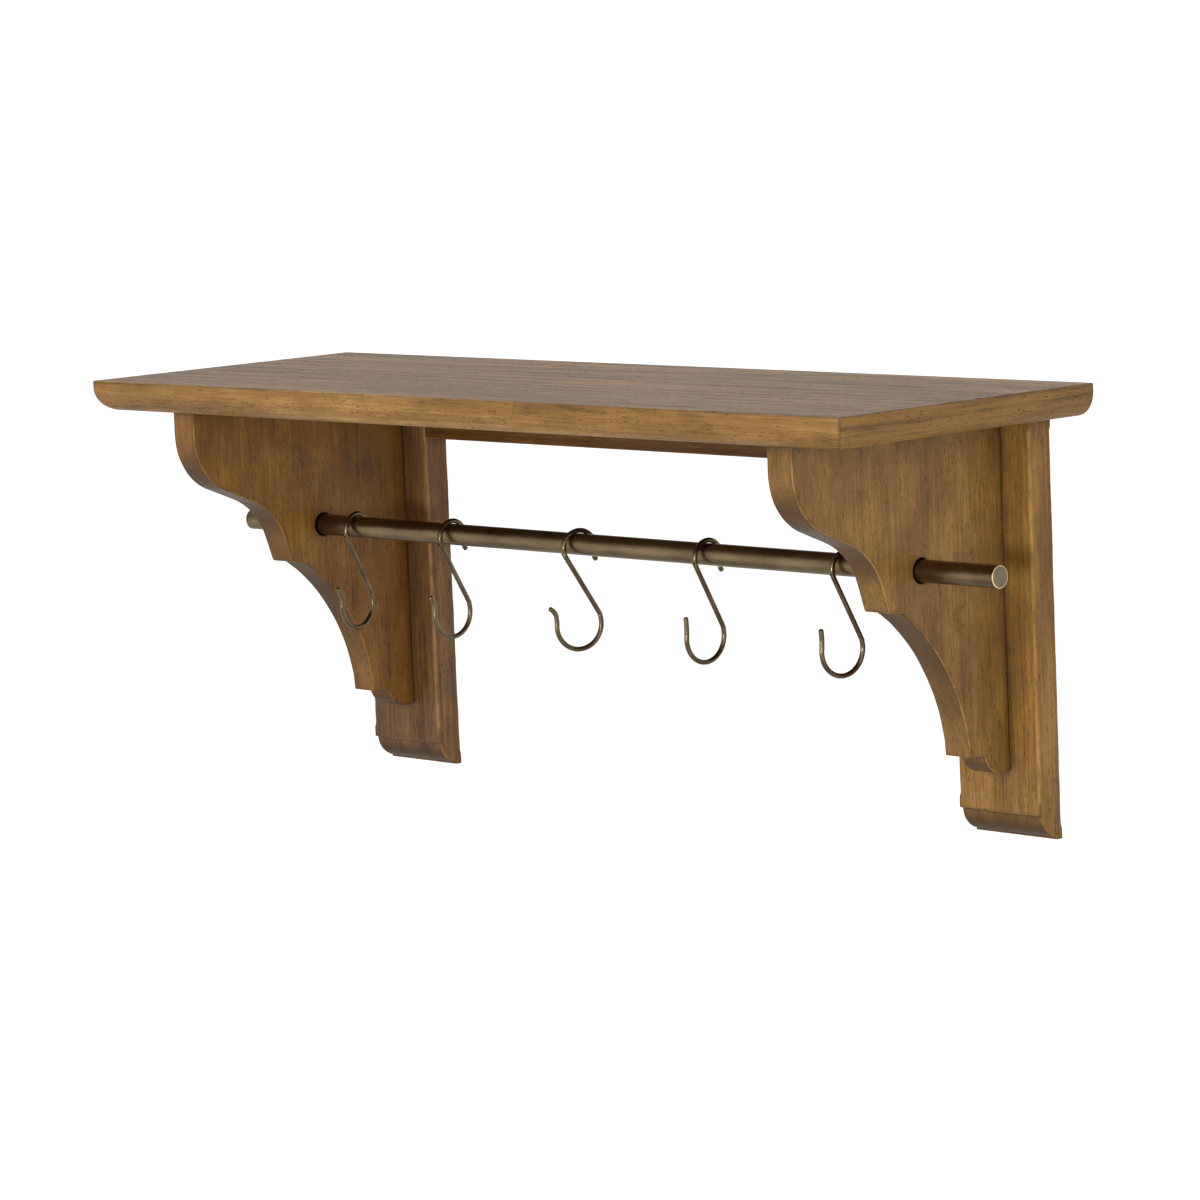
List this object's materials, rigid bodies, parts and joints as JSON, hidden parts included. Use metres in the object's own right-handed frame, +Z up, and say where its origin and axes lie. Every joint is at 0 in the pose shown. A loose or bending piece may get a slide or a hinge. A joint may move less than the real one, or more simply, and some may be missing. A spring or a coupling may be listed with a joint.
{
  "type": "wall shelf with brackets",
  "caption": "Wooden wall shelf on scroll-cut brackets, with a brass rod below the board carrying loose S-hooks for towels, mugs or utensils.",
  "frame": {"origin": "on the wall plane, midway along the board, at the height of the hanging line: the top end of the two keyholes", "axes": "+X along the board to the right as seen from the front, +Y into the wall, +Z up; the shelf stands out from the wall towards -Y"},
  "size_m": [0.9198, 0.305, 0.381],
  "materials": {
    "oiled_wood": "oiled, mid brown",
    "shaded_wood": "oiled, mid brown",
    "beech": "plain",
    "aged_brass": "antique, satin",
    "hook_brass": "antique, satin",
    "zinc_steel": "zinc plated",
    "screw_steel": "zinc plated"
  },
  "bodies": {
    "shelf": {"top_board": "oiled_wood", "bracket_left": "oiled_wood", "bracket_right": "oiled_wood", "backplate_left": "oiled_wood", "backplate_right": "oiled_wood", "rear_rail": "shaded_wood", "keyhole_hanger_left": "zinc_steel", "keyhole_hanger_right": "zinc_steel", "hanger_screw_left_upper": "screw_steel", "hanger_screw_left_lower": "screw_steel", "hanger_screw_right_upper": "screw_steel", "hanger_screw_right_lower": "screw_steel", "plate_screw_left_upper": "screw_steel", "plate_screw_left_lower": "screw_steel", "plate_screw_right_upper": "screw_steel", "plate_screw_right_lower": "screw_steel", "bracket_dowel_left_front": "beech", "bracket_dowel_left_back": "beech", "bracket_dowel_right_front": "beech", "bracket_dowel_right_back": "beech", "rail_dowel_left_upper": "beech", "rail_dowel_left_lower": "beech", "rail_dowel_right_upper": "beech", "rail_dowel_right_lower": "beech", "rail_top_dowel_1": "beech", "rail_top_dowel_2": "beech", "rail_top_dowel_3": "beech"},
    "rod": {"rod_tube": "aged_brass", "rod_cap_left": "aged_brass", "rod_cap_right": "aged_brass"},
    "hook_1": {"s_hook_1": "hook_brass"},
    "hook_2": {"s_hook_2": "hook_brass"},
    "hook_3": {"s_hook_3": "hook_brass"},
    "hook_4": {"s_hook_4": "hook_brass"},
    "hook_5": {"s_hook_5": "hook_brass"}
  },
  "joints": [
    {"name": "rod_slide", "type": "slide", "parent": "shelf", "child": "rod", "axis": [1, 0, 0], "range_m": [-0.03, 0.03]},
    {"name": "hook_1_swing", "type": "hinge", "parent": "rod", "child": "hook_1", "pos_m": [-0.3076, -0.129, -0.078], "axis": [1, 0, 0], "range_deg": [-60, 60]},
    {"name": "hook_2_swing", "type": "hinge", "parent": "rod", "child": "hook_2", "pos_m": [-0.18, -0.129, -0.078], "axis": [1, 0, 0], "range_deg": [-60, 60]},
    {"name": "hook_3_swing", "type": "hinge", "parent": "rod", "child": "hook_3", "pos_m": [-0.0185, -0.129, -0.078], "axis": [1, 0, 0], "range_deg": [-60, 60]},
    {"name": "hook_4_swing", "type": "hinge", "parent": "rod", "child": "hook_4", "pos_m": [0.1373, -0.129, -0.078], "axis": [1, 0, 0], "range_deg": [-60, 60]},
    {"name": "hook_5_swing", "type": "hinge", "parent": "rod", "child": "hook_5", "pos_m": [0.2965, -0.129, -0.078], "axis": [1, 0, 0], "range_deg": [-60, 60]}
  ]
}
